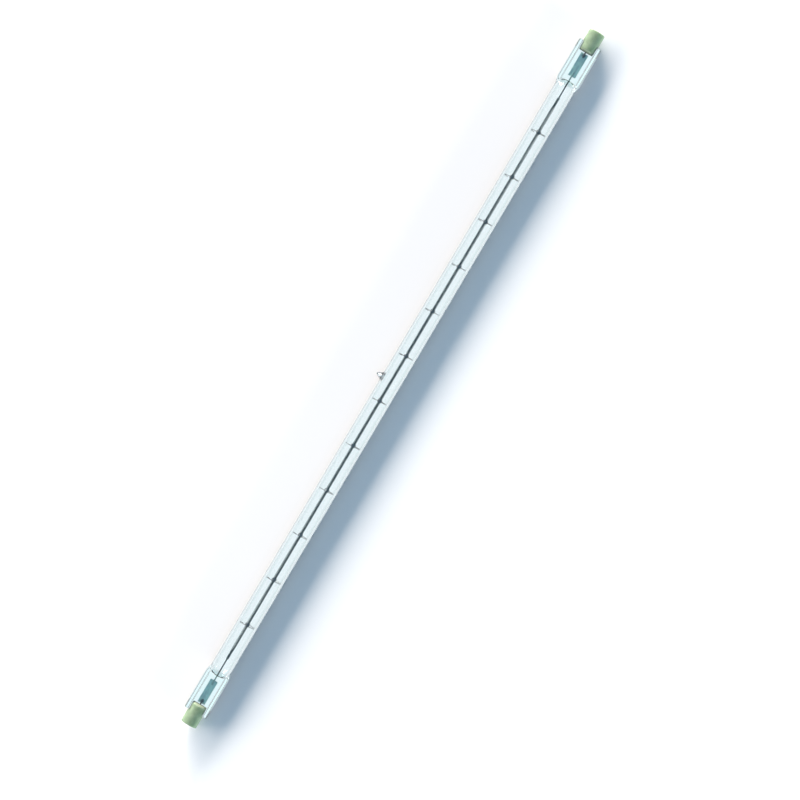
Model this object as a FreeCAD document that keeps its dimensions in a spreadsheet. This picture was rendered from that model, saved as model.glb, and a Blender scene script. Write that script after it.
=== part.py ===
"""A double-ended linear halogen lamp: a sealed quartz tube with a coiled filament along its axis.

The frame's origin is the middle of the lamp, on the tube's axis. +X runs along the tube, +Y lies in the
plane of the two flat pinch seals, towards the sealed exhaust tip, and +Z is square to that plane.
Every length is in millimetres.
"""

import FreeCAD
import Part
import Sketcher

import math
import os
from types import SimpleNamespace

# Driving dimensions: name, value and meaning. Each one becomes a named cell of the sheet.
SIZES = [
    ("overall_length", 330.8, "over the outer ends of the two ceramic caps"),
    ("tube_diameter", 9.0, "outside of the quartz tube"),
    ("tube_wall", 1.0, "wall of the quartz tube"),
    ("pinch_length", 19.4, "from the end of the bore to the cut end of the quartz"),
    ("pinch_width", 10.5, "across the two side ridges of a pinch"),
    ("ridge_thickness", 4.6, "of the side ridges, square to the pinch"),
    ("web_thickness", 2.6, "of the flat between the ridges"),
    ("web_clearance", 0.1, "between the side of a cap and each ridge"),
    ("shoulder_length", 4.2, "over which the round tube turns into the flat pinch"),
    ("shoulder_lead", 2.0, "how far the shoulder starts before the end of the bore"),
    ("press_start", 0.02, "height over the tube at which the pressed shoulder starts"),
    ("bore_dome", 1.3, "depth of the rounded end of the bore"),
    ("tip_offset", 1.4, "of the exhaust tip from the middle of the lamp"),
    ("tip_root_diameter", 4.6, "of the exhaust tip at its root in the wall"),
    ("tip_neck_diameter", 1.7, "of the exhaust tip under its nose"),
    ("tip_nose_diameter", 0.7, "of the flat on the nose"),
    ("tip_nose_height", 0.8, "of the nose"),
    ("tip_height", 2.4, "of the exhaust tip above the tube"),
    ("tip_bore", 1.2, "of the closed exhaust hole"),
    ("tip_bore_depth", 1.4, "of the closed exhaust hole above the wall of the bore"),
    ("foil_length", 10.8, "of the sealing foil, along the tube"),
    ("foil_width", 3.3, "of the sealing foil, across the tube"),
    ("foil_thickness", 0.03, "of the sealing foil"),
    ("foil_inset", 4.1, "from the end of the bore to the foil"),
    ("lead_diameter", 0.6, "of the inner and outer lead wires"),
    ("weld_flat", 0.06, "how far a lead is pressed flat where it is welded to the foil"),
    ("inner_weld", 2.0, "overlap of the inner lead and the foil"),
    ("outer_weld", 1.8, "overlap of the outer lead and the foil"),
    ("lead_reach", 6.0, "from the end of the bore to the end of the filament"),
    ("coil_diameter", 1.5, "outside of the filament coil"),
    ("coil_wire", 0.3, "thickness of the filament wire"),
    ("neck_length", 4.0, "of the narrow turns that grip a lead"),
    ("neck_taper", 1.5, "over which the coil narrows to its neck"),
    ("support_count", 12, "wire supports along the filament"),
    ("support_inset", 16.6, "from the end of the filament to the nearest support"),
    ("support_wire", 0.24, "thickness of the support wire"),
    ("support_grip", 1.5, "length of the close turns that hold the coil"),
    ("support_gap", 0.05, "between the loop of a support and the bore"),
    ("loop_gap", 1.6, "between the end of the loop and the leg"),
    ("cap_diameter", 7.0, "outside of the ceramic cap"),
    ("cap_length", 8.8, "of the ceramic cap"),
    ("cap_exposed", 5.7, "of the cap beyond the end of the quartz"),
    ("cap_chamfer", 0.35, "on the outer rim of the cap"),
    ("cement_gap", 0.2, "of cement between the web and the slot of the cap"),
    ("cement_bead", 0.7, "of cement squeezed out in front of the cap"),
    ("bead_inset", 0.4, "from the outside of the cap to the bead"),
    ("recess_diameter", 4.4, "of the round recess in the end of the cap"),
    ("recess_depth", 1.7, "from the end of the cap to the face of the contact"),
    ("contact_diameter", 3.6, "of the head of the contact"),
    ("contact_head", 0.8, "thickness of the head of the contact"),
    ("shank_diameter", 1.8, "of the shank of the contact"),
]

ENDS = {"left": -1, "right": 1}
FULL_TURN = 360


class Size:
    """A length that carries its value and the sheet formula that drives it."""

    def __init__(self, value, formula):
        self.value = value
        self.formula = formula

    def joined(self, value, sign, other):
        return Size(value, f"({self.formula} {sign} {getattr(other, 'formula', other)})")

    def __add__(self, other):
        return self.joined(self.value + plain(other), "+", other)

    def __sub__(self, other):
        return self.joined(self.value - plain(other), "-", other)

    def __mul__(self, other):
        return self.joined(self.value * plain(other), "*", other)

    def __truediv__(self, other):
        return self.joined(self.value / plain(other), "/", other)

    def __neg__(self):
        return self * -1

    __rmul__ = __mul__


def plain(place):
    """The plain number of a Size, or of a number as it is."""
    return place.value if isinstance(place, Size) else place


doc = FreeCAD.newDocument("linear_halogen_lamp")
sheet = doc.addObject("Spreadsheet::Sheet", "Sizes")
for row, (alias, value, meaning) in enumerate(SIZES, start=1):
    sheet.set(f"A{row}", meaning)
    sheet.set(f"B{row}", str(value))
    sheet.setAlias(f"B{row}", alias)
doc.recompute()
sizes = SimpleNamespace(**{alias: Size(sheet.get(alias), f"Sizes.{alias}") for alias, _, _ in SIZES})

# Places along the axis, measured from the middle of the lamp towards either end.
half_length = sizes.overall_length / 2
pinch_end = half_length - sizes.cap_exposed
bore_end = pinch_end - sizes.pinch_length
shoulder_in = bore_end - sizes.shoulder_lead
shoulder_middle = shoulder_in + sizes.shoulder_length / 2
shoulder_out = shoulder_in + sizes.shoulder_length
foil_in = bore_end + sizes.foil_inset
foil_out = foil_in + sizes.foil_length
coil_end = bore_end - sizes.lead_reach
neck_in = coil_end - sizes.neck_length
outer_support = coil_end - sizes.support_inset
support_pitch = outer_support * 2 / (sizes.support_count - 1)
cap_in = half_length - sizes.cap_length
slot_end = pinch_end + sizes.cement_gap
contact_face = half_length - sizes.recess_depth
head_in = contact_face - sizes.contact_head

# Radii and levels about the axis.
tube_radius = sizes.tube_diameter / 2
bore_radius = tube_radius - sizes.tube_wall
pinch_radius = sizes.pinch_width / 2
web_width = sizes.cap_diameter + sizes.web_clearance * 2
lead_radius = sizes.lead_diameter / 2
weld_level = lead_radius - sizes.weld_flat
coil_radius = sizes.coil_diameter / 2
cap_radius = sizes.cap_diameter / 2
slot_half = sizes.web_thickness / 2 + sizes.cement_gap
recess_radius = sizes.recess_diameter / 2
contact_radius = sizes.contact_diameter / 2
shank_radius = sizes.shank_diameter / 2


# Sketching: an outline is a chain of corners joined by lines or arcs, each tied to the sheet.
def new_sketch(body, name, role, shift=None):
    """A sketch on one of the planes of its body; shift names an axis of the sketch and its offset."""
    sketch = body.newObject("Sketcher::SketchObject", name)
    plane = next(f for f in body.Origin.OriginFeatures if f.Role == role)
    sketch.AttachmentSupport = (plane, [""])
    sketch.MapMode = "FlatFace"
    if shift:
        axis, offset = shift
        sketch.setExpression(f"AttachmentOffset.Base.{axis}", offset.formula)
    return sketch


def tie(sketch, kind, geometry, size):
    """One dimension of a sketch, tied to a size."""
    index = sketch.addConstraint(Sketcher.Constraint(kind, *geometry, size.value))
    sketch.setExpression(f"Constraints[{index}]", size.formula)


def tie_corner(sketch, point, x, y):
    """The place of a corner; a plain 0 keeps it on the axis of the sketch."""
    horizontal, vertical = -1, -2
    origin = (-1, 1)
    for kind, axis, place in (("DistanceX", vertical, x), ("DistanceY", horizontal, y)):
        if isinstance(place, Size):
            tie(sketch, kind, (*origin, *point), place)
        else:
            sketch.addConstraint(Sketcher.Constraint("PointOnObject", *point, axis))


def arc_between(start, end, radius, turns_left):
    """An arc of at most half a turn from start to end."""
    chord = end - start
    height = math.sqrt(max(radius ** 2 - (chord.Length / 2) ** 2, 0))
    to_left = FreeCAD.Vector(-chord.y, chord.x, 0).normalize()
    centre = (start + end) / 2 + to_left * (height if turns_left else -height)
    circle = Part.Circle(centre, FreeCAD.Vector(0, 0, 1), radius)
    first, last = (start, end) if turns_left else (end, start)
    return Part.ArcOfCircle(circle, circle.parameter(first), circle.parameter(last))


def corner_point(corner):
    x, y = corner[:2]
    return FreeCAD.Vector(plain(x), plain(y), 0)


START = 1
END = 2


def outline(sketch, corners):
    """A closed outline. A corner is (x, y), or (x, y, turn, radius) if an arc leads to it."""
    edges = []
    for index, corner in enumerate(corners):
        start, end = corner_point(corners[index - 1]), corner_point(corner)
        if len(corner) == 2:
            edge = sketch.addGeometry(Part.LineSegment(start, end))
            edges.append((edge, START, END))
            continue
        turn, radius = corner[2:]
        turns_left = turn > 0
        edge = sketch.addGeometry(arc_between(start, end, radius.value, turns_left))
        tie(sketch, "Radius", (edge,), radius)
        edges.append((edge, START, END) if turns_left else (edge, END, START))
    for index, corner in enumerate(corners):
        edge, _, end = edges[index]
        following, start, _ = edges[(index + 1) % len(edges)]
        sketch.addConstraint(Sketcher.Constraint("Coincident", edge, end, following, start))
        tie_corner(sketch, (edge, end), *corner[:2])


LEFT_BEND = 1
RIGHT_BEND = -1


def s_bend(run, rise):
    """The radius of two equal tangent arcs that make an S over a run and a rise."""
    return (run * run + rise * rise) / (rise * 4)


def bow(half_chord, height):
    """The radius of an arc whose tangent at one end is square to the chord's half, as in a dome."""
    return (half_chord * half_chord + height * height) / (height * 2)


# Features: each adds to, or cuts, the body that it is given.
def new_body(label):
    body = doc.addObject("PartDesign::Body", label)
    body.Label = label
    return body


def turned(body, kind, name, role, corners, axis="H_Axis", shift=None):
    """A Revolution or Groove of an outline about an axis of its own sketch."""
    sketch = new_sketch(body, f"{name}_outline", role, shift)
    outline(sketch, corners)
    feature = body.newObject(f"PartDesign::{kind}", name)
    feature.Profile = sketch
    feature.ReferenceAxis = (sketch, [axis])
    feature.Angle = FULL_TURN


def padded(body, name, role, outlines, thickness, shift=None):
    """A pad of one or more outlines, evenly to both sides of their plane."""
    sketch = new_sketch(body, f"{name}_outline", role, shift)
    for corners in outlines:
        outline(sketch, corners)
    feature = body.newObject("PartDesign::Pad", name)
    feature.Profile = sketch
    feature.SideType = "Symmetric"
    feature.setExpression("Length", thickness.formula)


def rectangle(low, high):
    return [low, (high[0], low[1]), high, (low[0], high[1])]


def cut_across(body, name, role, outlines, width=None):
    """A pocket cut evenly to both sides of a plane, through everything or to a width."""
    sketch = new_sketch(body, f"{name}_outline", role)
    for corners in outlines:
        outline(sketch, corners)
    feature = body.newObject("PartDesign::Pocket", name)
    feature.Profile = sketch
    feature.SideType = "Symmetric"
    if width:
        feature.setExpression("Length", width.formula)
    else:
        feature.Type = "ThroughAll"


# Quartz envelope: one piece of fused quartz, a drawn tube with both ends pressed flat.
def quartz_blank():
    """The tube with its pinches, bore and exhaust tip, before the sealed-in pieces leave their hollows."""
    body = new_body("quartz_blank")
    turned(body, "Revolution", "tube", "XZ_Plane", [
        (-pinch_end, 0),
        (pinch_end, 0),
        (pinch_end, pinch_radius),
        (shoulder_out, pinch_radius),
        (shoulder_in, tube_radius),
        (-shoulder_in, tube_radius),
        (-shoulder_out, pinch_radius),
        (-pinch_end, pinch_radius),
    ])
    exhaust_tip(body)
    press(body, "ridges", sizes.ridge_thickness / 2)
    press(body, "web", sizes.web_thickness / 2, web_width)
    bore(body)
    return body


def exhaust_tip(body):
    """The melted-off stub of the exhaust tube on the side of the tube, with its closed hole."""
    shift = ("x", -sizes.tip_offset)
    root, neck, nose = sizes.tip_root_diameter / 2, sizes.tip_neck_diameter / 2, sizes.tip_nose_diameter / 2
    top = tube_radius + sizes.tip_height
    turned(body, "Revolution", "exhaust_tip", "XY_Plane", [
        (0, bore_radius),
        (root, bore_radius),
        (neck, top - sizes.tip_nose_height),
        (nose, top),
        (0, top),
    ], "V_Axis", shift)
    inside = bore_radius - sizes.tube_wall
    hole = sizes.tip_bore / 2
    turned(body, "Groove", "exhaust_hole", "XY_Plane", [
        (0, inside),
        (hole, inside),
        (hole, bore_radius + sizes.tip_bore_depth),
        (0, bore_radius + sizes.tip_bore_depth),
    ], "V_Axis", shift)


def press(body, name, level, width=None):
    """What the pinching jaws take off both faces of both ends, down to a level from the middle plane."""
    top = tube_radius + sizes.press_start
    drop = top - level
    bend = s_bend(sizes.shoulder_length, drop)
    middle_level = level + drop / 2
    above = sizes.pinch_width
    beyond = half_length
    outlines = []
    for end in ENDS.values():
        for face in (-1, 1):
            hand = end * face
            outlines.append([
                (end * beyond, face * above),
                (end * shoulder_in, face * above),
                (end * shoulder_in, face * top),
                (end * shoulder_middle, face * middle_level, hand * RIGHT_BEND, bend),
                (end * shoulder_out, face * level, hand * LEFT_BEND, bend),
                (end * beyond, face * level),
            ])
    cut_across(body, name, "XZ_Plane", outlines, width)


def bore(body):
    """The sealed inside of the tube, with a shallow dome towards each pinch."""
    dome = bow(bore_radius, sizes.bore_dome)
    wall_end = bore_end - sizes.bore_dome
    turned(body, "Groove", "bore", "XZ_Plane", [
        (-bore_end, 0, LEFT_BEND, dome),
        (bore_end, 0),
        (wall_end, bore_radius, LEFT_BEND, dome),
        (-wall_end, bore_radius),
    ])


# Seal: two leads are welded to the ends of a thin foil, and the hot quartz closes round all three.
def foil(end_name, end):
    """The foil, which lies against the flats of the leads."""
    body = new_body(f"foil_{end_name}")
    half_width = sizes.foil_width / 2
    middle_level = -(weld_level + sizes.foil_thickness / 2)
    padded(body, f"foil_{end_name}_sheet", "XY_Plane", [
        rectangle((end * foil_in, -half_width), (end * foil_out, half_width)),
    ], sizes.foil_thickness, ("z", middle_level))
    return body


def lead(label, end, start, stop, weld_start, weld_stop):
    """A straight wire on the axis, pressed flat on its underside where it is welded."""
    body = new_body(label)
    turned(body, "Revolution", f"{label}_wire", "XZ_Plane", [
        (end * start, 0),
        (end * stop, 0),
        (end * stop, lead_radius),
        (end * start, lead_radius),
    ])
    cut_across(body, f"{label}_flat", "XZ_Plane", [
        rectangle((end * weld_start, -sizes.lead_diameter), (end * weld_stop, -weld_level)),
    ])
    return body


def seal(end_name, end):
    inner_stop = foil_in + sizes.inner_weld
    outer_start = foil_out - sizes.outer_weld
    return [
        foil(end_name, end),
        lead(f"inner_lead_{end_name}", end, neck_in, inner_stop, foil_in, inner_stop),
        lead(f"outer_lead_{end_name}", end, outer_start, slot_end, outer_start, foil_out),
    ]


# Filament: the outer form of the wire coil, whose last turns narrow to grip the two inner leads.
def filament():
    body = new_body("filament")
    taper_in = neck_in - sizes.neck_taper
    coil_inside = coil_radius - sizes.coil_wire
    neck_radius = lead_radius + sizes.coil_wire
    turned(body, "Revolution", "coil", "XZ_Plane", [
        (-coil_end, lead_radius),
        (-neck_in, lead_radius),
        (-neck_in, coil_inside),
        (neck_in, coil_inside),
        (neck_in, lead_radius),
        (coil_end, lead_radius),
        (coil_end, neck_radius),
        (neck_in, neck_radius),
        (taper_in, coil_radius),
        (-taper_in, coil_radius),
        (-neck_in, neck_radius),
        (-coil_end, neck_radius),
    ])
    return body


# Supports: a wire wound closely on the coil, led straight out to the bore and along it in a loop.
TURN_SIDES = 8
LOOP_SIDES = 16


def polygon(sides, flat):
    """The corners of a regular outline whose flats stand at one distance from the middle."""
    step = 2 * math.pi / sides
    half_step = step / 2
    corner = flat / math.cos(half_step)
    angles = [side * step + half_step for side in range(sides)]
    return [(corner * math.cos(angle), corner * math.sin(angle)) for angle in angles]


def filament_support(index):
    """One support, built about the middle of the lamp and moved to its place along the filament.

    The flats of its close turns touch the coil, and the corners of its loop keep off the bore.
    """
    label = f"filament_support_{index + 1:02d}"
    body = new_body(label)
    half_wire = sizes.support_wire / 2
    turns_flat = coil_radius + sizes.support_wire
    loop_flat = (bore_radius - sizes.support_gap) * math.cos(math.pi / LOOP_SIDES)
    loop_inside = loop_flat - sizes.support_wire
    padded(body, f"{label}_turns", "YZ_Plane", [
        polygon(TURN_SIDES, turns_flat),
        polygon(TURN_SIDES, coil_radius),
    ], sizes.support_grip)
    padded(body, f"{label}_loop", "YZ_Plane", [
        polygon(LOOP_SIDES, loop_flat),
        polygon(LOOP_SIDES, loop_inside),
    ], sizes.support_wire)
    cut_across(body, f"{label}_gap", "YZ_Plane", [
        rectangle((half_wire, -sizes.tube_diameter), (half_wire + sizes.loop_gap, -turns_flat)),
    ])
    padded(body, f"{label}_leg", "XZ_Plane", [
        rectangle((-half_wire, -(loop_inside + half_wire)), (half_wire, -(coil_radius + half_wire))),
    ], sizes.support_wire)
    place = support_pitch * index - outer_support
    body.setExpression("Placement.Base.x", place.formula)
    return body


# Ends: a slotted ceramic cap straddles the web of each pinch, holds the contact and is cemented on.
def contact(end_name, end):
    """A button with a shank, to whose end the outer lead is welded."""
    body = new_body(f"contact_{end_name}")
    turned(body, "Revolution", f"contact_{end_name}_button", "XZ_Plane", [
        (end * slot_end, 0),
        (end * contact_face, 0),
        (end * contact_face, contact_radius),
        (end * head_in, contact_radius),
        (end * head_in, shank_radius),
        (end * slot_end, shank_radius),
    ])
    return body


def ceramic_cap(end_name, end):
    body = new_body(f"ceramic_cap_{end_name}")
    turned(body, "Revolution", f"ceramic_cap_{end_name}_body", "XZ_Plane", [
        (end * cap_in, shank_radius),
        (end * head_in, shank_radius),
        (end * head_in, contact_radius),
        (end * contact_face, contact_radius),
        (end * contact_face, recess_radius),
        (end * half_length, recess_radius),
        (end * half_length, cap_radius - sizes.cap_chamfer),
        (end * (half_length - sizes.cap_chamfer), cap_radius),
        (end * cap_in, cap_radius),
    ])
    before = cap_in - sizes.cement_bead
    cut_across(body, f"ceramic_cap_{end_name}_slot", "XZ_Plane", [
        rectangle((end * before, -slot_half), (end * slot_end, slot_half)),
    ])
    return body


def cement_blank(end_name, end):
    """The filling of the slot and the bead in front of it, before the quartz and lead are taken out."""
    body = new_body(f"cement_blank_{end_name}")
    bead_in = cap_in - sizes.cement_bead
    bead_radius = cap_radius - sizes.bead_inset
    turned(body, "Revolution", f"cement_{end_name}_plug", "XZ_Plane", [
        (end * bead_in, 0),
        (end * slot_end, 0),
        (end * slot_end, bead_radius),
        (end * bead_in, bead_radius),
    ])
    beyond = slot_end + sizes.cement_gap
    cut_across(body, f"cement_{end_name}_sides", "XZ_Plane", [
        rectangle((end * cap_in, face * slot_half), (end * beyond, face * sizes.cap_diameter))
        for face in (-1, 1)
    ])
    return body


def closed_round(label, blank, inner_pieces):
    """A piece that closes round others: a blank with their own shapes taken out of it."""
    hollow = doc.addObject("Part::MultiFuse", f"{label}_hollow")
    hollow.Shapes = inner_pieces
    piece = doc.addObject("Part::Cut", label)
    piece.Label = label
    piece.Base = blank
    piece.Tool = hollow
    return piece


def lamp():
    """Every sub-part of the lamp, each with the label that names its file."""
    seals = {end_name: seal(end_name, end) for end_name, end in ENDS.items()}
    quartz = quartz_blank()
    envelope = closed_round("quartz_envelope", quartz, seals["left"] + seals["right"])
    pieces = [envelope, *seals["left"], *seals["right"], filament()]
    pieces += [filament_support(index) for index in range(round(sizes.support_count.value))]
    for end_name, end in ENDS.items():
        outer_lead = seals[end_name][-1]
        cement = closed_round(f"cap_cement_{end_name}", cement_blank(end_name, end), [quartz, outer_lead])
        pieces += [ceramic_cap(end_name, end), contact(end_name, end), cement]
    return pieces


def check(pieces):
    """Stops the build if an object failed, or a sub-part isn't one valid solid."""
    for thing in doc.Objects:
        if {"Invalid", "Error"} & set(thing.State):
            raise RuntimeError(f"{thing.Label} failed: {thing.State}")
    for piece in pieces:
        if piece.Shape.isNull() or not piece.Shape.isValid() or len(piece.Shape.Solids) != 1:
            raise RuntimeError(f"{piece.Label} isn't one valid solid")


def write(pieces):
    os.makedirs("parts", exist_ok=True)
    for piece in pieces:
        piece.Shape.exportStep(f"parts/{piece.Label}.step")
        print(f"{piece.Label}: {piece.Shape.Volume:.3f} mm3")


lamp_pieces = lamp()
doc.recompute()
check(lamp_pieces)
write(lamp_pieces)
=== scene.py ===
"""The looks of a double-ended linear halogen lamp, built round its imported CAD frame.

The frame's origin is the middle of the lamp, +X runs along the tube, +Y is the side of the exhaust tip
and +Z is up. Sizes are written in millimetres and turned into metres when a mesh or a finish is made.
"""
import math

import bpy
import numpy as np
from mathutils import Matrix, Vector


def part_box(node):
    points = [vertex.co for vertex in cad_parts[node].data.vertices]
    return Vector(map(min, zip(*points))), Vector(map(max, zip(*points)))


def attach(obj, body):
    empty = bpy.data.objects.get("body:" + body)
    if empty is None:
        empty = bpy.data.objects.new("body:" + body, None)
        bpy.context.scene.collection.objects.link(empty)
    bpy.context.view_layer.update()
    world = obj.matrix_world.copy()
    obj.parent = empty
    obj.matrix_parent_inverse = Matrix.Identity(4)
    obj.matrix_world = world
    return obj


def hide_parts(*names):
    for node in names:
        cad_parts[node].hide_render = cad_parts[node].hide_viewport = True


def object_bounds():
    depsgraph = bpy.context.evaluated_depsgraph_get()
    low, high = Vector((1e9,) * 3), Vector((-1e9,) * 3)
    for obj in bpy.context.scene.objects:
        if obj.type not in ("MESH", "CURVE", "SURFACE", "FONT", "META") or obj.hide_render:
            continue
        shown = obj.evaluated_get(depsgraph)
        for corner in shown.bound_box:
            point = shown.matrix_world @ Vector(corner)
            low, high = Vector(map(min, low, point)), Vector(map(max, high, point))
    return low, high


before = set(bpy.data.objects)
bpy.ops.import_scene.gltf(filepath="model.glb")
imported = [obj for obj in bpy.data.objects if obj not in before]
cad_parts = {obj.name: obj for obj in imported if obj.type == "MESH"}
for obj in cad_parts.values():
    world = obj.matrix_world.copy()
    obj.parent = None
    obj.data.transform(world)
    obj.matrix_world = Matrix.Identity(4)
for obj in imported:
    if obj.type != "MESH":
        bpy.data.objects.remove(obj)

cad_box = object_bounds()

# Lead wires: drawn molybdenum, one from the filament to the foil and one from the foil to the contact at
# each end. Each is cut to length, and its underside is pressed flat where it is welded to the foil.
MM = 0.001
ENDS = {"left": -1, "right": 1}
LEAD_SIDES = 28
LEAD_STEP = 0.2
LEAD_END_ROUNDING = 0.05
WELD_RUN_IN = 0.3
WELD_SPREAD = 0.12
SEAL_STARTS_BEFORE_FOIL = 3.2
SEALED_BEFORE_FOIL = 1.6
LEAD_SURFACE = {"Metallic": 1.0, "Roughness": 0.42}
LEAD_SHADES = [(0.3, (0.055, 0.062, 0.066, 1)), (0.7, (0.20, 0.23, 0.24, 1))]
LEAD_SEALED = (0.36, 0.52, 0.48, 1)
WIRE_STREAKS = (400, 9000, 9000)
WIRE_STREAK_DETAIL = 4.0
WIRE_STREAK_STRENGTH = 0.25
WIRE_STREAK_DEPTH = 0.01
MIX_UNDER = 6
MIX_OVER = 7
MIX_RESULT = 2


def node_box(node):
    """The lowest and highest corner of a node of the frame, in millimetres."""
    low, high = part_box(node)
    return np.array(low) / MM, np.array(high) / MM


def from_middle(node):
    """How far the inner and the outer end of a piece are from the middle of the lamp."""
    low, high = node_box(node)
    return sorted((abs(low[0]), abs(high[0])))


def radius_of(node):
    """Half of what a round piece measures across the lamp."""
    low, high = node_box(node)
    return (high[1] - low[1]) / 2


def start_finish(name, surface):
    """A node material; surface holds plain values for the sockets of its one shader."""
    finish = bpy.data.materials.new(name)
    finish.use_nodes = True
    shader = finish.node_tree.nodes["Principled BSDF"]
    for socket, value in surface.items():
        shader.inputs[socket].default_value = value
    return finish, shader


def feed(finish, node, socket, value):
    """Sets an input of a node, or links it where the value is another node's output."""
    if isinstance(value, bpy.types.NodeSocket):
        finish.node_tree.links.new(value, node.inputs[socket])
    else:
        node.inputs[socket].default_value = value


def add_node(finish, kind, inputs=None, **settings):
    """One more node in a finish; an input is a plain value or the output that feeds it."""
    node = finish.node_tree.nodes.new("ShaderNode" + kind)
    for setting, value in settings.items():
        setattr(node, setting, value)
    for socket, value in (inputs or {}).items():
        feed(finish, node, socket, value)
    return node


def place_on(finish):
    """The place on the object, in metres."""
    return add_node(finish, "TexCoord").outputs["Object"]


def uneven(finish, grains, detail):
    """Uneven values from 0 to 1; grains is how many there are to a metre along X, Y and Z."""
    place = add_node(finish, "Mapping", {"Vector": place_on(finish), "Scale": grains}).outputs["Vector"]
    return add_node(finish, "TexNoise", {"Vector": place, "Scale": 1.0, "Detail": detail}).outputs["Fac"]


def colours_by(finish, factor, stops):
    """A colour for each value of a factor; stops are (position, colour)."""
    ramp = add_node(finish, "ValToRGB", {"Fac": factor})
    elements = ramp.color_ramp.elements
    while len(elements) < len(stops):
        elements.new(1)
    for element, (position, colour) in zip(elements, stops):
        element.position = position
        element.color = colour
    return ramp.outputs["Color"]


def mixed(finish, share, under, over, blend="MIX"):
    """One colour laid over another; share is how much the upper one counts.

    The Mix node has sockets of the same name for numbers and for colours, so these go by number.
    """
    colours = {"Factor": share, MIX_UNDER: under, MIX_OVER: over}
    return add_node(finish, "Mix", colours, data_type="RGBA", blend_type=blend).outputs[MIX_RESULT]


def rising(finish, value, start, stop, top=1.0, curve="LINEAR"):
    """0 up to the start, then rising to the top at the stop."""
    return add_node(finish, "MapRange", {
        "Value": value, "From Min": start, "From Max": stop, "To Max": top,
    }, interpolation_type=curve).outputs["Result"]


def along_lamp(finish, start, stop):
    """0 nearer to the middle of the lamp than start, rising smoothly to 1 at stop."""
    along = add_node(finish, "SeparateXYZ", {"Vector": place_on(finish)}).outputs["X"]
    distance = add_node(finish, "Math", {0: along}, operation="ABSOLUTE").outputs["Value"]
    return rising(finish, distance, start * MM, stop * MM, curve="SMOOTHSTEP")


def bumped(finish, shader, height, strength, depth):
    """A raised or sunk surface; depth is in millimetres."""
    bump = add_node(finish, "Bump", {"Height": height, "Strength": strength, "Distance": depth * MM})
    feed(finish, shader, "Normal", bump.outputs["Normal"])


def drawn_wire_finish(name, surface, shades, sealed_stretch=None):
    """Drawn metal, finely streaked along the wire and bright where quartz has wetted it."""
    finish, shader = start_finish(name, surface)
    streaks = uneven(finish, WIRE_STREAKS, WIRE_STREAK_DETAIL)
    colour = colours_by(finish, streaks, shades)
    if sealed_stretch:
        colour = mixed(finish, along_lamp(finish, *sealed_stretch), colour, LEAD_SEALED)
    feed(finish, shader, "Base Color", colour)
    bumped(finish, shader, streaks, WIRE_STREAK_STRENGTH, WIRE_STREAK_DEPTH)
    return finish


def smooth_step(value):
    """0 up to 0 and 1 from 1 on, with a smooth rise between."""
    value = np.clip(value, 0, 1)
    return value * value * (3 - 2 * value)


def ring_angles(sides):
    """Even angles once round."""
    return np.arange(sides) * 2 * math.pi / sides


def ring_at(x, y, z):
    """One ring of points, square to the lamp's axis."""
    return np.column_stack([np.full(len(y), x), y, z])


def skin(rings, flip=False, closed_ends=True):
    """Points and faces over rings that follow each other along +X, each running from +Y towards +Z."""
    rows, sides = len(rings), len(rings[0])
    grid = np.arange(rows * sides).reshape(rows, sides)
    beside = np.roll(grid, -1, axis=1)
    faces = np.stack([grid[:-1], beside[:-1], beside[1:], grid[1:]], axis=-1).reshape(-1, 4).tolist()
    if closed_ends:
        faces += [grid[0][::-1].tolist(), grid[-1].tolist()]
    if flip:
        faces = [face[::-1] for face in faces]
    return np.concatenate(rings), faces


def make_piece(name, points, faces, finish):
    """A smooth mesh object from points in millimetres."""
    mesh = bpy.data.meshes.new(name)
    mesh.from_pydata((np.asarray(points) * MM).tolist(), [], faces)
    mesh.shade_smooth()
    mesh.materials.append(finish)
    piece = bpy.data.objects.new(name, mesh)
    bpy.context.scene.collection.objects.link(piece)
    return piece


def lead_rings(node, foil_node):
    """The rings of a lead, flattened where it lies on the foil."""
    low, high = node_box(node)
    foil_low, foil_high = node_box(foil_node)
    radius = radius_of(node)
    weld_level = foil_high[2]
    count = round((high[0] - low[0]) / LEAD_STEP)
    inner = np.linspace(low[0] + LEAD_END_ROUNDING, high[0] - LEAD_END_ROUNDING, count)
    stations = [(low[0], LEAD_END_ROUNDING), *((x, 0) for x in inner), (high[0], LEAD_END_ROUNDING)]
    angles = ring_angles(LEAD_SIDES)
    rings = []
    for x, inset in stations:
        reach = min(x - foil_low[0], foil_high[0] - x)
        pressed = smooth_step(reach / WELD_RUN_IN + 1)
        y = (radius - inset) * np.cos(angles) * (1 + WELD_SPREAD * pressed)
        z = (radius - inset) * np.sin(angles)
        z += pressed * (np.maximum(z, weld_level) - z)
        rings.append(ring_at(x, y, z))
    return rings


foil_start = from_middle("foil_right")[0]
sealed_stretch = (foil_start - SEAL_STARTS_BEFORE_FOIL, foil_start - SEALED_BEFORE_FOIL)
lead_finishes = {
    "inner_lead": drawn_wire_finish("inner_lead_molybdenum", LEAD_SURFACE, LEAD_SHADES, sealed_stretch),
    "outer_lead": drawn_wire_finish("drawn_molybdenum", LEAD_SURFACE, LEAD_SHADES),
}
for end in ENDS:
    for stem, finish in lead_finishes.items():
        node = f"{stem}_{end}"
        lead = make_piece(f"{node}_wire", *skin(lead_rings(node, f"foil_{end}")), finish)
        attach(lead, "root")
        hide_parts(node)

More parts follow.
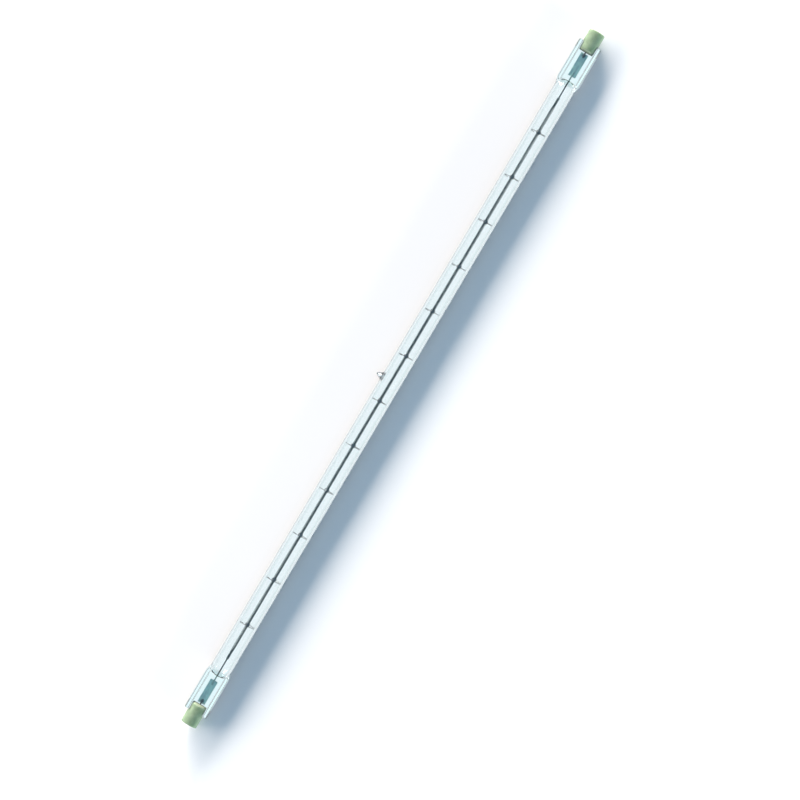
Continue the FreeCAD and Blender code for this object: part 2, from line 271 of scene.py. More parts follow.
# Sealing foils: strips of molybdenum a few hundredths of a millimetre thick, etched to knife edges so that
# the quartz closes on them without a leak. A lead is spot-welded to each end, and the outer weld leaves a
# dark patch.
FOIL_EDGE = 0.25
FOIL_RIPPLE = 0.012
FOIL_RIPPLE_LENGTH = 2.7
FOIL_RIPPLE_SLANT = 0.3
FOIL_ROWS = 48
FOIL_ACROSS = 14
OUTER_WELD = 1.8
BURN_RADIUS = 0.35
BURN_FADED = 1.15
FOIL_SURFACE = {"Metallic": 1.0, "Roughness": 0.45}
FOIL_SHADES = [(0.35, (0.52, 0.69, 0.63, 1)), (0.62, (0.74, 0.96, 0.85, 1))]
FOIL_BURNT = (0.012, 0.03, 0.035, 1)
FOIL_PATCHES = (260, 700, 1)
FOIL_PATCH_DETAIL = 3.0
FOIL_PATCH_STRENGTH = 0.3
FOIL_PATCH_DEPTH = 0.02


def foil_rings(node):
    """Sections of a strip that is thickest in the middle and slightly rippled along its length."""
    low, high = node_box(node)
    half_width, half_thickness = (high[1:] - low[1:]) / 2
    middle = (high[2] + low[2]) / 2
    across = np.cos(np.linspace(0, math.pi, FOIL_ACROSS))
    y = half_width * across
    rise = half_thickness * (FOIL_EDGE + (1 - FOIL_EDGE) * np.sqrt(1 - across ** 2))
    rings = []
    for x in np.linspace(low[0], high[0], FOIL_ROWS):
        ripple = np.sin(2 * math.pi * (x / FOIL_RIPPLE_LENGTH + FOIL_RIPPLE_SLANT * across))
        level = middle + FOIL_RIPPLE * ripple
        top_and_bottom = np.concatenate([level + rise, (level - rise)[::-1]])
        rings.append(ring_at(x, np.concatenate([y, y[::-1]]), top_and_bottom))
    return rings


def distance_from(finish, point):
    """How many metres a place on the object is from a point, which is given in millimetres."""
    metres = [size * MM for size in point]
    away = add_node(finish, "VectorMath", {0: place_on(finish), 1: metres}, operation="DISTANCE")
    return away.outputs["Value"]


def foil_finish(name, weld_x):
    """Satin foil with a heat tint in patches, burnt dark round the outer weld."""
    finish, shader = start_finish(name, FOIL_SURFACE)
    patches = uneven(finish, FOIL_PATCHES, FOIL_PATCH_DETAIL)
    tint = colours_by(finish, patches, FOIL_SHADES)
    from_weld = distance_from(finish, (weld_x, 0, 0))
    unburnt = rising(finish, from_weld, BURN_RADIUS * MM, BURN_FADED * MM)
    feed(finish, shader, "Base Color", mixed(finish, unburnt, FOIL_BURNT, tint))
    bumped(finish, shader, patches, FOIL_PATCH_STRENGTH, FOIL_PATCH_DEPTH)
    return finish


for end, sign in ENDS.items():
    node = f"foil_{end}"
    weld_x = sign * (from_middle(f"outer_lead_{end}")[0] + OUTER_WELD / 2)
    heat_tinted = foil_finish(f"heat_tinted_foil_{end}", weld_x)
    foil = make_piece(f"{node}_strip", *skin(foil_rings(node)), heat_tinted)
    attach(foil, "root")
    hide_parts(node)

# Filament: one long tungsten wire wound into a helix of some 550 turns. At each end the coil narrows and
# its last turns close up on the inner lead, which carries it.
COIL_WIRE = 0.3
COIL_PITCH = 0.49
NECK_PITCH = 0.33
NECK_LENGTH = 4.0
NECK_TAPER = 1.5
TURN_STEPS = 18
COIL_WIRE_SIDES = 6
TUNGSTEN_SURFACE = {"Metallic": 1.0, "Roughness": 0.45}
TUNGSTEN_SHADES = [(0.3, (0.08, 0.108, 0.108, 1)), (0.7, (0.18, 0.23, 0.228, 1))]


def swept_wire(path, radius, sides):
    """Points and faces of a round wire along a path, its section carried along without twist."""
    path = np.asarray(path)
    along = np.gradient(path, axis=0)
    along /= np.linalg.norm(along, axis=1)[:, None]
    side = np.cross(along[0], (0, 0, 1))
    cosines, sines = np.cos(ring_angles(sides)), np.sin(ring_angles(sides))
    rings = []
    for point, direction in zip(path, along):
        side = side - direction * side.dot(direction)
        side /= np.linalg.norm(side)
        up = np.cross(direction, side)
        rings.append(point + radius * (cosines[:, None] * side + sines[:, None] * up))
    return skin(rings)


def coil_path(low, high, radius, neck_radius):
    """The middle of the wire from one end of the coil to the other."""
    x = low[0] + COIL_WIRE / 2
    angle = 0
    points = []
    while x < high[0] - COIL_WIRE / 2:
        from_end = min(x - low[0], high[0] - x)
        share = smooth_step((from_end - NECK_LENGTH) / NECK_TAPER)
        reach = neck_radius + (radius - neck_radius) * share
        points.append((x, reach * math.cos(angle), reach * math.sin(angle)))
        x += (NECK_PITCH + (COIL_PITCH - NECK_PITCH) * share) / TURN_STEPS
        angle += 2 * math.pi / TURN_STEPS
    return points


coil_radius = radius_of("filament")
neck_radius = radius_of("inner_lead_left") + COIL_WIRE / 2
coil_line = coil_path(*node_box("filament"), coil_radius - COIL_WIRE / 2, neck_radius)
tungsten = drawn_wire_finish("drawn_tungsten", TUNGSTEN_SURFACE, TUNGSTEN_SHADES)
coil = make_piece("filament_coil", *swept_wire(coil_line, COIL_WIRE / 2, COIL_WIRE_SIDES), tungsten)
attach(coil, "root")
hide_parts("filament")

# Filament supports: twelve thin tungsten wires. Each is wound closely on the coil, led straight down to
# the wall of the tube and bent round along it in an open loop, so that the coil stays on the axis.
SUPPORT_COUNT = 12
SUPPORT_WIRE = 0.24
SUPPORT_BEND = 0.3
SUPPORT_SIDES = 8
SUPPORT_TURN_STEPS = 24
BEND_STEPS = 6
LOOP_STEPS = 84
LOOP_GAP = 1.6
LOOP_ADVANCE = 0.6
SUPPORT_SURFACE = {"Metallic": 1.0, "Roughness": 0.4}
SUPPORT_SHADES = [(0.3, (0.12, 0.14, 0.145, 1)), (0.7, (0.30, 0.335, 0.34, 1))]


def close_turns(grip):
    """Turns side by side along the coil, up to where the wire bends down."""
    radius = coil_radius + SUPPORT_WIRE / 2
    count = grip / SUPPORT_WIRE
    leave = -math.pi / 2 - math.asin(SUPPORT_BEND / radius)
    angles = np.linspace(leave - count * 2 * math.pi, leave, round(count * SUPPORT_TURN_STEPS))
    along = np.linspace(-grip / 2, grip / 2, len(angles))
    return np.stack([along, radius * np.cos(angles), radius * np.sin(angles)], axis=1)


def bent_leg(start, loop_radius):
    """A bend down from the turns, a straight run to the wall and a bend along it."""
    quarter = np.linspace(0, math.pi / 2, BEND_STEPS)
    across = SUPPORT_BEND * (np.sin(quarter) - 1)
    down = SUPPORT_BEND * (1 - np.cos(quarter))
    y = np.concatenate([across, across[::-1]])
    z = np.concatenate([start[2] - down, down[::-1] - loop_radius])
    x = start[0] * (1 - smooth_step((start[2] - z) / (start[2] + loop_radius)))
    return np.stack([x, y, z], axis=1)


def open_loop(radius):
    """A loop along the wall, which advances like a screw and ends short of the leg."""
    first = math.asin(SUPPORT_BEND / radius)
    last = 2 * math.pi - math.asin((LOOP_GAP + SUPPORT_WIRE) / radius)
    angles = np.linspace(first, last, LOOP_STEPS)
    along = -LOOP_ADVANCE * angles / (2 * math.pi)
    return np.stack([along, -radius * np.sin(angles), -radius * np.cos(angles)], axis=1)


def support_path(node):
    """Close turns, a leg and a loop, as one bent wire."""
    low, high = node_box(node)
    loop_radius = radius_of(node) - SUPPORT_WIRE / 2
    turns = close_turns(high[0] - low[0] - SUPPORT_WIRE)
    leg = bent_leg(turns[-1], loop_radius)
    path = np.concatenate([turns, leg[1:], open_loop(loop_radius)[1:]])
    path[:, 0] += (low[0] + high[0]) / 2
    return path


support_finish = drawn_wire_finish("support_tungsten", SUPPORT_SURFACE, SUPPORT_SHADES)
for number in range(1, SUPPORT_COUNT + 1):
    node = f"filament_support_{number:02d}"
    support_mesh = swept_wire(support_path(node), SUPPORT_WIRE / 2, SUPPORT_SIDES)
    support = make_piece(f"{node}_wire", *support_mesh, support_finish)
    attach(support, "root")
    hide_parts(node)

# Quartz envelope: a drawn tube of clear fused quartz whose two ends were heated and pressed flat round
# the foils. On its side is the stub of the tube through which it was filled, melted off to a drop. Its
# colour is darkened round the tip and along the edges seen aslant, as painted shade.
TUBE_RADIUS = 4.5
BORE_RADIUS = 3.5
RIDGE_HALF = 2.3
WEB_HALF = 1.3
WEB_HALF_WIDTH = 3.6
PINCH_LENGTH = 19.4
SHOULDER_LEAD = 2.0
SHOULDER_LENGTH = 4.2
WEDGE_REACH = 1.9
WEDGE_DOME = 1.8
WEDGE_DOME_HOLE = 0.004
WEDGE_WALL = 0.35
PRESSED_ROUNDING = 0.42
CUT_ROUNDING = 0.25
TIP_X = -1.4
TIP_HEIGHT = 2.4
TIP_REACH = 1.95
TIP_BORE_HEIGHT = 1.4
TIP_BORE_REACH = 0.75
TUBE_ROWS_FROM = 8
TUBE_ROWS = 40
SHOULDER_ROWS = 32
PINCH_ROWS = 24
TIP_ROWS_REACH = 3.0
TIP_ROW_STEP = 0.11
BORE_ROWS_FROM = 6
BORE_ROWS = 24
NARROWING_ROWS = 16
DOME_ROWS = 24
TIP_BORE_ROWS_REACH = 1.2
TIP_BORE_ROW_STEP = 0.08
QUARTER_STEPS = 44
RIDGE_SIDE_STEPS = 8
ROUNDING_STEPS = 5
QUARTZ_SURFACE = {"Transmission Weight": 1.0, "Roughness": 0.0, "IOR": 1.458}
QUARTZ_TINTS = [(0.0, (0.955, 0.98, 0.985, 1)), (1.0, (0.80, 0.905, 0.915, 1))]
# Painted shade: grey lines laid into the quartz's colour where it is seen aslant, along its edges.
QUARTZ_EDGE_PAINTED_SHADE = [
    (0.28, (1, 1, 1, 1)),
    (0.42, (0.76, 0.80, 0.82, 1)),
    (0.6, (0.60, 0.645, 0.665, 1)),
    (1.0, (0.36, 0.41, 0.44, 1)),
]
# Painted shade: the glass is darkened round the tip of the stub.
TIP_PAINTED_SHADE = [(0.3, (0.52, 0.57, 0.58, 1)), (1.0, (1, 1, 1, 1))]
TIP_SHADE_REACH = 2.0
DRAWING_WAVES = (14, 260, 260)
DRAWING_WAVE_DETAIL = 2.0
DRAWING_WAVE_STRENGTH = 0.12
DRAWING_WAVE_DEPTH = 0.05
quartz_low, quartz_high = node_box("quartz_envelope")
quartz_end = quartz_high[0]
pinch_radius = -quartz_low[1]
bore_end = quartz_end - PINCH_LENGTH
shoulder_start = bore_end - SHOULDER_LEAD
shoulder_end = shoulder_start + SHOULDER_LENGTH


def rounded(corners):
    """An open outline with round corners; a corner is (across, up, rounding)."""
    outline = [corners[0][:2]]
    for before, (across, up, rounding), after in zip(corners, corners[1:], corners[2:]):
        corner = np.array((across, up), float)
        back = np.subtract(before[:2], corner)
        on = np.subtract(after[:2], corner)
        start = corner + back / np.linalg.norm(back) * rounding
        stop = corner + on / np.linalg.norm(on) * rounding
        for share in np.linspace(0, 1, ROUNDING_STEPS):
            towards_corner = (1 - share) * start + share * corner
            from_corner = (1 - share) * corner + share * stop
            outline.append((1 - share) * towards_corner + share * from_corner)
    outline.append(corners[-1][:2])
    return np.array(outline, float)


def evenly(outline, count):
    """The same outline as a number of points at even distances."""
    lengths = np.append(0, np.cumsum(np.linalg.norm(np.diff(outline, axis=0), axis=1)))
    places = np.linspace(0, lengths[-1], count)
    return np.stack([np.interp(places, lengths, outline[:, axis]) for axis in (0, 1)], axis=1)


def four_quarters(quarter):
    """A closed section from its first quarter, which runs from +Y to +Z."""
    half = np.concatenate([quarter, (quarter * (-1, 1))[-2::-1]])
    return np.concatenate([half, (half * (1, -1))[-2:0:-1]])


def round_section():
    """The section of the tube."""
    turn = np.linspace(0, math.pi / 2, QUARTER_STEPS)
    return four_quarters(TUBE_RADIUS * np.stack([np.cos(turn), np.sin(turn)], axis=1))


def pressed_section(inset=0.0):
    """The section of a pinch: a flat web between two rounded ridges."""
    outer, ridge, web = pinch_radius - inset, RIDGE_HALF - inset, WEB_HALF - inset
    foot = WEB_HALF_WIDTH + inset
    lift = math.asin(ridge / outer)
    turn = np.linspace(0, lift, RIDGE_SIDE_STEPS)[:-1]
    side = outer * np.stack([np.cos(turn), np.sin(turn)], axis=1)
    corners = [
        (*side[-1], 0), (outer * math.cos(lift), ridge, PRESSED_ROUNDING),
        (foot, ridge, PRESSED_ROUNDING), (foot, web, PRESSED_ROUNDING), (0, web, 0),
    ]
    return four_quarters(evenly(np.concatenate([side[:-1], rounded(corners)]), QUARTER_STEPS))


def bell(distance, reach):
    """1 at no distance, falling smoothly to 0 at the reach."""
    return (1 + np.cos(math.pi * np.clip(distance / reach, 0, 1))) / 2


def pressed_share(x):
    """How far the jaws have pressed the tube flat at a place along it."""
    return smooth_step((abs(x) - shoulder_start) / SHOULDER_LENGTH)


def outer_stations():
    """Places along the tube: close together at the shoulders and round the exhaust tip."""
    half = np.concatenate([
        np.linspace(TUBE_ROWS_FROM, shoulder_start, TUBE_ROWS)[:-1],
        np.linspace(shoulder_start, shoulder_end, SHOULDER_ROWS)[:-1],
        np.linspace(shoulder_end, quartz_end - CUT_ROUNDING, PINCH_ROWS),
    ])
    near_tip = np.arange(TIP_X - TIP_ROWS_REACH, TIP_X + TIP_ROWS_REACH, TIP_ROW_STEP)
    return np.concatenate([-half[::-1], near_tip, half])


def outer_rings():
    """The outside of the quartz, from one cut end to the other."""
    as_drawn, as_pressed, cut = round_section(), pressed_section(), pressed_section(CUT_ROUNDING)
    rings = [ring_at(-quartz_end, *cut.T)]
    for x in outer_stations():
        y, z = (as_drawn + (as_pressed - as_drawn) * pressed_share(x)).T
        outward = TIP_HEIGHT * bell(np.hypot(x - TIP_X, z), TIP_REACH) * (y > 0)
        rings.append(ring_at(x, y + outward, z))
    return [*rings, ring_at(quartz_end, *cut.T)]


def bore_rings():
    """The inside of the quartz, pressed to a wedge towards both pinches and open into the stub."""
    wedge_start = bore_end + WEDGE_REACH - WEDGE_DOME
    turn = np.linspace(math.pi / 2 - WEDGE_DOME_HOLE, 0, DOME_ROWS)
    dome = np.stack([wedge_start + WEDGE_DOME * np.sin(turn), BORE_RADIUS * np.cos(turn)], axis=1)
    wall = np.concatenate([
        np.linspace(wedge_start, shoulder_start, NARROWING_ROWS)[1:],
        np.linspace(shoulder_start, BORE_ROWS_FROM, BORE_ROWS)[1:],
    ])
    near_tip = np.arange(TIP_X - TIP_BORE_ROWS_REACH, TIP_X + TIP_BORE_ROWS_REACH, TIP_BORE_ROW_STEP)
    half = [*dome, *((x, BORE_RADIUS) for x in wall)]
    stations = [(-x, r) for x, r in half] + [(x, BORE_RADIUS) for x in near_tip] + half[::-1]
    angles = ring_angles(4 * QUARTER_STEPS)
    rings = []
    for x, half_width in stations:
        room = BORE_RADIUS + (WEB_HALF - WEDGE_WALL - BORE_RADIUS) * pressed_share(x)
        y = half_width * np.cos(angles)
        z = half_width / BORE_RADIUS * room * np.sin(angles)
        outward = TIP_BORE_HEIGHT * bell(np.hypot(x - TIP_X, z), TIP_BORE_REACH) * (y > 0)
        rings.append(ring_at(x, y + outward, z))
    return rings


def joined(skins):
    """Several skins as the points and faces of one mesh."""
    points, faces = [], []
    for skin_points, skin_faces in skins:
        faces += [[corner + len(points) for corner in face] for face in skin_faces]
        points += skin_points.tolist()
    return points, faces


def quartz_finish():
    """Clear quartz: wavy from drawing, tinted where pressed, and darker as painted shade where seen aslant
    and at the tip.
    """
    finish, shader = start_finish("fused_quartz", QUARTZ_SURFACE)
    colour = colours_by(finish, along_lamp(finish, shoulder_start, shoulder_end), QUARTZ_TINTS)
    # Painted shade: the colour is darkened where the quartz is seen aslant and round the tip.
    aslant = add_node(finish, "LayerWeight").outputs["Facing"]
    from_tip = distance_from(finish, (TIP_X, TUBE_RADIUS + TIP_HEIGHT, 0))
    clear_of_tip = rising(finish, from_tip, 0, TIP_SHADE_REACH * MM)
    for factor, stops in ((aslant, QUARTZ_EDGE_PAINTED_SHADE), (clear_of_tip, TIP_PAINTED_SHADE)):
        colour = mixed(finish, 1.0, colour, colours_by(finish, factor, stops), "MULTIPLY")
    feed(finish, shader, "Base Color", colour)
    waves = uneven(finish, DRAWING_WAVES, DRAWING_WAVE_DETAIL)
    bumped(finish, shader, waves, DRAWING_WAVE_STRENGTH, DRAWING_WAVE_DEPTH)
    return finish


quartz_mesh = joined([skin(outer_rings()), skin(bore_rings(), flip=True)])
quartz = make_piece("quartz_envelope_glass", *quartz_mesh, quartz_finish())
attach(quartz, "root")
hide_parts("quartz_envelope")

# Contacts: a turned nickel-alloy button in the bottom of each cap's recess. Its shank goes through the
# cap, and the outer lead is welded to the shank's end.
CONTACT_HEAD = 0.8
CONTACT_ROUNDING = 0.14
HEAD_BACK_ROUNDING = 0.08
SHANK_RADIUS = 0.9
SHANK_ROUNDING = 0.05
DIMPLE_DEPTH = 0.08
DIMPLE_SHARE = 0.5
DIMPLE_ROUNDING = 0.3
TURNED_CENTRE = 0.01
TURNED_SIDES = 72
CONTACT_SURFACE = {"Metallic": 1.0, "Roughness": 0.34}
CONTACT_SHADES = [(0.35, (0.38, 0.37, 0.35, 1)), (0.65, (0.62, 0.61, 0.58, 1))]
CONTACT_PATCHES = (900, 900, 900)
CONTACT_PATCH_DETAIL = 3.0
TOOL_RINGS = 9000
TOOL_RING_STRENGTH = 0.3
TOOL_RING_DEPTH = 0.02
contact_radius = radius_of("contact_right")


def turned(profile, sign):
    """Rings of a turned piece; profile is (distance from the lamp's middle, radius) from the inside out."""
    angles = ring_angles(TURNED_SIDES)
    rings = [ring_at(sign * x, r * np.cos(angles), r * np.sin(angles)) for x, r in profile]
    return rings if sign > 0 else rings[::-1]


def contact_profile(start, face):
    """The outline of the shank, the head and the dimple in its face."""
    head_in = face - CONTACT_HEAD
    return rounded([
        (start, TURNED_CENTRE, 0), (start, SHANK_RADIUS, SHANK_ROUNDING),
        (head_in, SHANK_RADIUS, SHANK_ROUNDING), (head_in, contact_radius, HEAD_BACK_ROUNDING),
        (face, contact_radius, CONTACT_ROUNDING), (face, DIMPLE_SHARE * contact_radius, DIMPLE_ROUNDING),
        (face - DIMPLE_DEPTH, TURNED_CENTRE, 0),
    ])


def turned_metal_finish():
    """Turned metal: fine rings from the tool and a dull oxide in patches."""
    finish, shader = start_finish("turned_nickel", CONTACT_SURFACE)
    patches = uneven(finish, CONTACT_PATCHES, CONTACT_PATCH_DETAIL)
    feed(finish, shader, "Base Color", colours_by(finish, patches, CONTACT_SHADES))
    across = add_node(finish, "Mapping", {"Vector": place_on(finish), "Scale": (0, 1, 1)}).outputs["Vector"]
    from_axis = add_node(finish, "VectorMath", {0: across}, operation="LENGTH").outputs["Value"]
    rings = add_node(finish, "TexNoise", {"W": from_axis, "Scale": TOOL_RINGS}, noise_dimensions="1D")
    bumped(finish, shader, rings.outputs["Fac"], TOOL_RING_STRENGTH, TOOL_RING_DEPTH)
    return finish


contact_finish = turned_metal_finish()
for end, sign in ENDS.items():
    node = f"contact_{end}"
    profile = contact_profile(*from_middle(node))
    contact = make_piece(f"{node}_button", *skin(turned(profile, sign)), contact_finish)
    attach(contact, "root")
    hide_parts(node)

# Ceramic caps: pressed and fired steatite in a pale sage green. Each has a slot that straddles the web of
# the pinch, a recess for the pin of the holder at its outer end, and is cemented on.
CAP_ROUNDING = 0.35
CAP_INNER_ROUNDING = 0.18
CAP_SIDES = 96
RECESS_RADIUS = 2.2
RECESS_DEPTH = 1.7
RECESS_ROUNDING = 0.22
RECESS_CORNER = 0.05
SEAT_CORNER = 0.02
SEAT_PLAY = 0.02
CEMENT_GAP = 0.2
SLOT_RUN_OUT = 1.0
SLOT_EDGE = 0.1
SLOT_EDGE_STEPS = 3
SLOT_EDGE_ANGLE = math.radians(50)
SHARP_ANGLE = math.radians(40)
CAP_SURFACE = {
    "Roughness": 0.62, "Specular IOR Level": 0.4, "Subsurface Weight": 0.9, "Subsurface Scale": 0.0035,
    "Subsurface Radius": (1.0, 1.0, 0.8),
}
CAP_SHADES = [(0.35, (0.172, 0.248, 0.162, 1)), (0.68, (0.24, 0.325, 0.222, 1))]
CAP_CLOUDS = (420, 420, 420)
CAP_CLOUD_DETAIL = 4.0
CAP_SPECK = (0.10, 0.16, 0.09, 1)
CAP_SPECKS = (4200, 4200, 4200)
CAP_SPECK_DETAIL = 1.0
SPECK_STARTS = 0.66
SPECK_FULL = 0.74
SPECK_SHARE = 0.6
CAP_GRAIN = (7000, 7000, 7000)
CAP_GRAIN_DETAIL = 3.0
CAP_GRAIN_STRENGTH = 0.35
CAP_GRAIN_DEPTH = 0.03
cap_inner, cap_outer = from_middle("ceramic_cap_right")
cap_radius = radius_of("ceramic_cap_right")
slot_end = quartz_end + CEMENT_GAP
slot_half = WEB_HALF + CEMENT_GAP


def cap_profile():
    """A closed outline of (distance from the middle of the lamp, radius)."""
    face = cap_outer - RECESS_DEPTH
    seat = face - CONTACT_HEAD
    seat_radius = contact_radius + SEAT_PLAY
    shank_hole = SHANK_RADIUS + SEAT_PLAY
    corners = [
        (cap_inner, shank_hole, 0), (cap_inner, cap_radius, CAP_INNER_ROUNDING),
        (cap_outer, cap_radius, CAP_ROUNDING), (cap_outer, RECESS_RADIUS, RECESS_ROUNDING),
        (face, RECESS_RADIUS, RECESS_CORNER), (face, seat_radius, RECESS_CORNER),
        (seat, seat_radius, SEAT_CORNER), (seat, shank_hole, SEAT_CORNER), (cap_inner, shank_hole, 0),
    ]
    return rounded(corners)[:-1]


def cap_blank(profile, sign):
    """The cap before its slot is cut: a closed outline turned once round the axis."""
    x, r = sign * profile[:, 0], profile[:, 1]
    rings = [np.stack([x, r * math.cos(a), r * math.sin(a)], axis=1) for a in ring_angles(CAP_SIDES)]
    points, faces = skin([*rings, rings[0]], flip=sign > 0, closed_ends=False)
    whole = CAP_SIDES * len(profile)
    return points[:whole], [[corner % whole for corner in face] for face in faces]


def slot_box(sign):
    """Corners and faces of a box where the slot is cut, wider than the cap and open towards the pinch."""
    corners = [
        (x, y, z)
        for x in sorted((sign * (cap_inner - SLOT_RUN_OUT), sign * slot_end))
        for y in (-2 * cap_radius, 2 * cap_radius)
        for z in (-slot_half, slot_half)
    ]
    faces = [(0, 1, 3, 2), (4, 6, 7, 5), (0, 4, 5, 1), (2, 3, 7, 6), (0, 2, 6, 4), (1, 5, 7, 3)]
    return corners, faces


def cut_and_softened(piece, cutter):
    """Takes the cutter out of the piece and rounds the edges that the cut leaves."""
    cut = piece.modifiers.new("slot", "BOOLEAN")
    cut.operation = "DIFFERENCE"
    cut.solver = "EXACT"
    cut.object = cutter
    soften = piece.modifiers.new("soft_edges", "BEVEL")
    soften.width = SLOT_EDGE * MM
    soften.segments = SLOT_EDGE_STEPS
    soften.limit_method = "ANGLE"
    soften.angle_limit = SLOT_EDGE_ANGLE
    bpy.context.view_layer.update()
    as_cut = piece.evaluated_get(bpy.context.evaluated_depsgraph_get())
    finished = bpy.data.meshes.new_from_object(as_cut)
    piece.modifiers.clear()
    piece.data = finished
    finished.shade_smooth()
    finished.set_sharp_from_angle(angle=SHARP_ANGLE)
    bpy.data.objects.remove(cutter)


def ceramic_finish():
    """Unglazed fired ceramic: a fine grain, cloudy colour and small dark specks."""
    finish, shader = start_finish("sage_steatite", CAP_SURFACE)
    clouds = uneven(finish, CAP_CLOUDS, CAP_CLOUD_DETAIL)
    body = colours_by(finish, clouds, CAP_SHADES)
    dots = uneven(finish, CAP_SPECKS, CAP_SPECK_DETAIL)
    specks = rising(finish, dots, SPECK_STARTS, SPECK_FULL, SPECK_SHARE)
    feed(finish, shader, "Base Color", mixed(finish, specks, body, CAP_SPECK))
    grain = uneven(finish, CAP_GRAIN, CAP_GRAIN_DETAIL)
    bumped(finish, shader, grain, CAP_GRAIN_STRENGTH, CAP_GRAIN_DEPTH)
    return finish


cap_finish = ceramic_finish()
for end, sign in ENDS.items():
    node = f"ceramic_cap_{end}"
    cap = make_piece(f"{node}_body", *cap_blank(cap_profile(), sign), cap_finish)
    cut_and_softened(cap, make_piece("slot_cutter", *slot_box(sign), cap_finish))
    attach(cap, "root")
    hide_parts(node)

# Cap cement: a pale refractory paste that fills the slot round the web and is squeezed out in front of
# the cap in an uneven bead above and below the web, where it dries.
BEAD_RADIUS = 3.1
BEAD_LENGTH = 0.7
BEAD_BACK = 0.15
BEAD_LIP = 0.05
BEAD_FULLNESS = 0.7
BEAD_ROWS = 44
BEAD_STEPS = 9
LUMP_HEIGHT = 0.07
LUMP_WAVES = [(3.1, 1.7, 0.6), (7.3, -2.3, 0.4)]
CEMENT_SINK = 0.02
CEMENT_SURFACE = {"Roughness": 0.85, "Specular IOR Level": 0.25}
CEMENT_SHADES = [(0.35, (0.29, 0.35, 0.25, 1)), (0.65, (0.36, 0.44, 0.31, 1))]
CEMENT_CLOUDS = (1500, 1500, 1500)
CEMENT_CLOUD_DETAIL = 5.0
CEMENT_GRAIN = (5000, 5000, 5000)
CEMENT_GRAIN_DETAIL = 4.0
CEMENT_GRAIN_STRENGTH = 0.6
CEMENT_GRAIN_DEPTH = 0.05


def lumps(y, step):
    """A small uneven swelling, the same on each run."""
    return sum(height * math.sin(across * y + along * step) for across, along, height in LUMP_WAVES)


def bead_section(y):
    """The outline of the cement at one place across the cap, as (distance from the middle, height)."""
    low = WEB_HALF - CEMENT_SINK
    filled = slot_half + CEMENT_SINK
    far = slot_end + CEMENT_SINK
    top = max(math.sqrt(max(BEAD_RADIUS ** 2 - y ** 2, 0)), filled + BEAD_LIP)
    back = cap_inner + BEAD_BACK
    bulge = []
    for step in range(BEAD_STEPS):
        turn = math.pi / 2 * step / (BEAD_STEPS - 1)
        swell = LUMP_HEIGHT * lumps(y, step) * math.sin(2 * turn)
        front = back - (BEAD_LENGTH + BEAD_BACK) * math.sin(turn) - swell
        height = low + (top - low) * math.cos(turn) ** BEAD_FULLNESS + swell
        bulge.append((front, height))
    return [(far, 0), (far, filled), (back, filled), *bulge, (quartz_end, low), (quartz_end, 0)]


def cement_half(sign, face):
    """The cement on one face of the web, from one side of the cap to the other."""
    rings = [
        np.array([(sign * x, y, face * z) for x, z in bead_section(y)])
        for y in np.linspace(-BEAD_RADIUS, BEAD_RADIUS, BEAD_ROWS)
    ]
    return skin(rings, flip=sign * face < 0)


def cement_finish():
    """Dried paste: grainy, chalky and unevenly coloured."""
    finish, shader = start_finish("dried_cement", CEMENT_SURFACE)
    clouds = uneven(finish, CEMENT_CLOUDS, CEMENT_CLOUD_DETAIL)
    feed(finish, shader, "Base Color", colours_by(finish, clouds, CEMENT_SHADES))
    grain = uneven(finish, CEMENT_GRAIN, CEMENT_GRAIN_DETAIL)
    bumped(finish, shader, grain, CEMENT_GRAIN_STRENGTH, CEMENT_GRAIN_DEPTH)
    return finish


paste = cement_finish()
for end, sign in ENDS.items():
    node = f"cap_cement_{end}"
    cement_mesh = joined([cement_half(sign, face) for face in (-1, 1)])
    cement = make_piece(f"{node}_paste", *cement_mesh, paste)
    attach(cement, "root")
    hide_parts(node)

# Floor: a plain, pale, matt sheet that the lamp lies on. Seen through the quartz it glows a clean
# near-white as painted light, hiding the lamp's shadow there, in place of the light the tube would gather
# under itself.
FLOOR_HALF = 6000
FLOOR_SURFACE = {"Roughness": 0.9, "Specular IOR Level": 0.0}
FLOOR_SHADES = [(0.3, (0.86, 0.86, 0.86, 1)), (0.7, (0.90, 0.90, 0.90, 1))]
FLOOR_MOTTLE = (6, 6, 6)
FLOOR_MOTTLE_DETAIL = 2.0
# Painted light: the floor glows with this colour wherever it is seen through the quartz.
FLOOR_PAINTED_GLOW = {"Color": (0.93, 0.985, 1.0, 1), "Strength": 1.08}


def floor_finish():
    """Matt and faintly mottled, and glowing evenly as painted light where it is seen through the quartz."""
    finish, shader = start_finish("pale_floor", FLOOR_SURFACE)
    mottle = uneven(finish, FLOOR_MOTTLE, FLOOR_MOTTLE_DETAIL)
    feed(finish, shader, "Base Color", colours_by(finish, mottle, FLOOR_SHADES))
    # Painted light: a glow that takes the place of the floor's shading when it is seen through the quartz.
    painted_glow = add_node(finish, "Emission", FLOOR_PAINTED_GLOW).outputs["Emission"]
    seen_through = add_node(finish, "LightPath").outputs["Is Transmission Ray"]
    looks = {0: seen_through, 1: shader.outputs["BSDF"], 2: painted_glow}
    either = add_node(finish, "MixShader", looks).outputs["Shader"]
    feed(finish, finish.node_tree.nodes["Material Output"], "Surface", either)
    return finish


floor_corners = [
    (side * FLOOR_HALF, depth * FLOOR_HALF, quartz_low[2])
    for side, depth in ((-1, -1), (1, -1), (1, 1), (-1, 1))
]
floor = make_piece("floor", floor_corners, [(0, 1, 2, 3)], floor_finish())

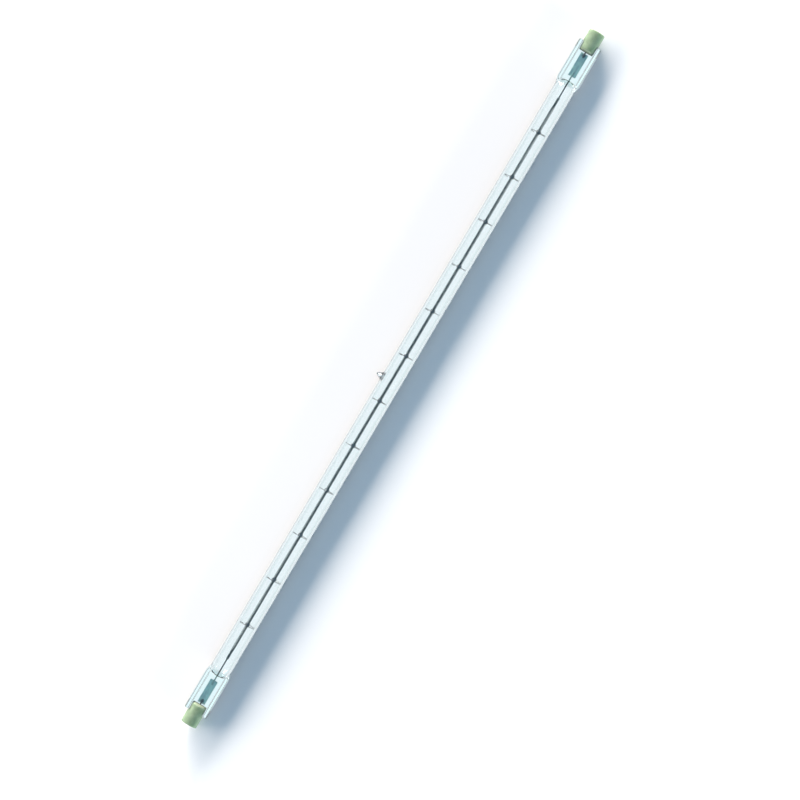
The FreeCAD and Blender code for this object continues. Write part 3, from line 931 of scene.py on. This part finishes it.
# Light: a long soft light from the upper left of the picture, made of five round ones side by side, a low
# one from the other side and a bluish room all round. Lights that would streak the quartz aren't mirrored.
KEY_SIDES = (-0.5, 0.05, 0.6, 1.1, 1.6)
KEY_RISE = 0.406
KEY_WIDTH = math.radians(31.6)
KEY_STRENGTH = 1.55
KEY_COLOUR = (1.0, 0.91, 0.83)
GLINT_SIDE = 0.4
FILL_FROM = (-0.25, -1.0, 0.17)
FILL_WIDTH = math.radians(24)
FILL_STRENGTH = 4.5
FILL_COLOUR = (0.93, 0.97, 0.97)
ROOM_SHADES = [
    (0.0, (0.01, 0.07, 0.16, 1)),
    (0.8, (0.02, 0.11, 0.23, 1)),
    (0.95, (0.35, 0.58, 0.75, 1)),
    (1.0, (0.39, 0.62, 0.79, 1)),
]


def soft_light(name, came_from, width, strength, colour, glints):
    """A far, round light; without glints it isn't mirrored in the quartz."""
    light = bpy.data.lights.new(name, "SUN")
    light.energy = strength
    light.color = colour
    light.angle = width
    source = bpy.data.objects.new(name, light)
    source.rotation_mode = "QUATERNION"
    source.rotation_quaternion = (-Vector(came_from)).to_track_quat("-Z", "Y")
    source.visible_glossy = glints
    source.visible_transmission = glints
    bpy.context.scene.collection.objects.link(source)


for number, side in enumerate(KEY_SIDES, start=1):
    key_from = (side, 1, KEY_RISE)
    key_strength = KEY_STRENGTH * math.hypot(*key_from)
    key_width = KEY_WIDTH / math.hypot(1, side)
    soft_light(f"key_light_{number}", key_from, key_width, key_strength, KEY_COLOUR, side > GLINT_SIDE)
soft_light("fill_light", FILL_FROM, FILL_WIDTH, FILL_STRENGTH, FILL_COLOUR, glints=False)
room = bpy.data.worlds.new("room")
room.use_nodes = True
direction = add_node(room, "TexCoord").outputs["Generated"]
height = add_node(room, "SeparateXYZ", {"Vector": direction}).outputs["Z"]
feed(room, room.node_tree.nodes["Background"], "Color", colours_by(room, height, ROOM_SHADES))
bpy.context.scene.world = room
bpy.context.scene.view_settings.view_transform = "Standard"
bpy.context.scene.cycles.caustics_refractive = False
bpy.context.scene.cycles.caustics_reflective = False

# Camera: straight above the lamp with a long lens, turned so that the lamp rises to the upper right at
# the photograph's angle and lies where it does there.
IMAGE_PIXELS = 800
LAMP_PIXELS = 803.4
LAMP_MIDDLE = (392.95, 378.45)
LAMP_ANGLE = math.radians(59.4)
CAMERA_LENS = 135
CAMERA_SENSOR = 36
CAMERA_SEES_TO = 100
lamp_length = (cad_box[1] - cad_box[0])[0]
metres_per_pixel = lamp_length / LAMP_PIXELS
image_right = Vector((math.cos(LAMP_ANGLE), -math.sin(LAMP_ANGLE), 0))
image_up = Vector((math.sin(LAMP_ANGLE), math.cos(LAMP_ANGLE), 0))
to_right = (IMAGE_PIXELS / 2 - LAMP_MIDDLE[0]) * metres_per_pixel
to_top = (LAMP_MIDDLE[1] - IMAGE_PIXELS / 2) * metres_per_pixel
camera_height = IMAGE_PIXELS * metres_per_pixel * CAMERA_LENS / CAMERA_SENSOR
camera_data = bpy.data.cameras.new("camera")
camera_data.lens = CAMERA_LENS
camera_data.sensor_width = CAMERA_SENSOR
camera_data.clip_end = CAMERA_SEES_TO
camera = bpy.data.objects.new("camera", camera_data)
camera.location = image_right * to_right + image_up * to_top + Vector((0, 0, camera_height))
camera.rotation_euler = (0, 0, -LAMP_ANGLE)
bpy.context.scene.collection.objects.link(camera)
bpy.context.scene.camera = camera
